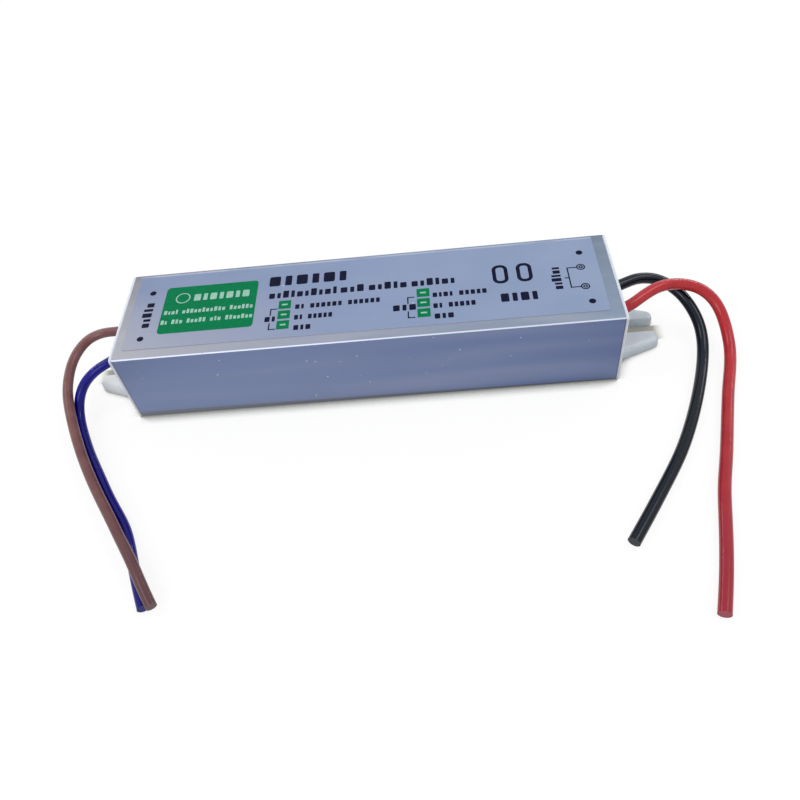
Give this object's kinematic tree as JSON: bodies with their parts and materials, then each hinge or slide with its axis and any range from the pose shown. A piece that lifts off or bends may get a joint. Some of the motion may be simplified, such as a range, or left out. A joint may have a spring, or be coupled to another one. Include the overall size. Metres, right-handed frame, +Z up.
{
  "type": "led driver",
  "caption": "Slim potted LED driver: a rectangular metal tube closed by moulded end caps with slotted mounting ears, and insulated lead wires for the mains input and the low-voltage output.",
  "frame": {"origin": "middle of the underside, measured on the housing with its ears and without the lead wires", "axes": "+X along the tube towards the output end, +Y to the back, +Z up from the mounting surface"},
  "size_m": [0.167, 0.0919, 0.0212],
  "materials": {
    "tube_metal": "satin, anodised blue-grey",
    "label_film": "satin silver-blue film with plain print fields",
    "cap_plastic": "moulded, slightly translucent off-white",
    "insulation_brown": "satin extruded insulation",
    "insulation_blue": "satin extruded insulation",
    "insulation_black": "satin extruded insulation",
    "insulation_red": "satin extruded insulation",
    "copper": "stripped copper strands",
    "board_laminate": "pale laminate",
    "solder": "tin solder",
    "compound": "cured dark grey potting compound",
    "fuse_ceramic": "coated ceramic",
    "blue_lacquer": "dipped lacquer",
    "orange_lacquer": "dipped lacquer",
    "ferrite": "sintered ferrite",
    "black_epoxy": "moulded epoxy",
    "white_epoxy": "moulded epoxy",
    "capacitor_sleeve": "sleeved can",
    "bobbin_plastic": "moulded",
    "winding_tape": "polyester tape over wire",
    "resistor_lacquer": "lacquered"
  },
  "bodies": {
    "root": {"housing_tube": "tube_metal", "label_film": "label_film", "end_cap_input": "cap_plastic", "end_cap_output": "cap_plastic", "wire_brown": "insulation_brown", "wire_blue": "insulation_blue", "wire_black": "insulation_black", "wire_red": "insulation_red", "conductor_ends": "copper", "circuit_board": "board_laminate", "solder_joints": "solder", "potting_compound": "compound", "fuse": "fuse_ceramic", "varistor": "blue_lacquer", "input_choke": "ferrite", "bridge_rectifier": "black_epoxy", "input_capacitor": "capacitor_sleeve", "controller": "black_epoxy", "snubber_diode": "black_epoxy", "snubber_capacitor": "orange_lacquer", "transformer_core_input": "ferrite", "transformer_core_output": "ferrite", "transformer_bobbin": "bobbin_plastic", "transformer_winding": "winding_tape", "transformer_pins": "solder", "safety_capacitor": "blue_lacquer", "optocoupler": "white_epoxy", "voltage_reference": "black_epoxy", "output_diode": "black_epoxy", "output_capacitors": "capacitor_sleeve", "output_choke": "ferrite", "resistors": "resistor_lacquer"}
  },
  "joints": []
}
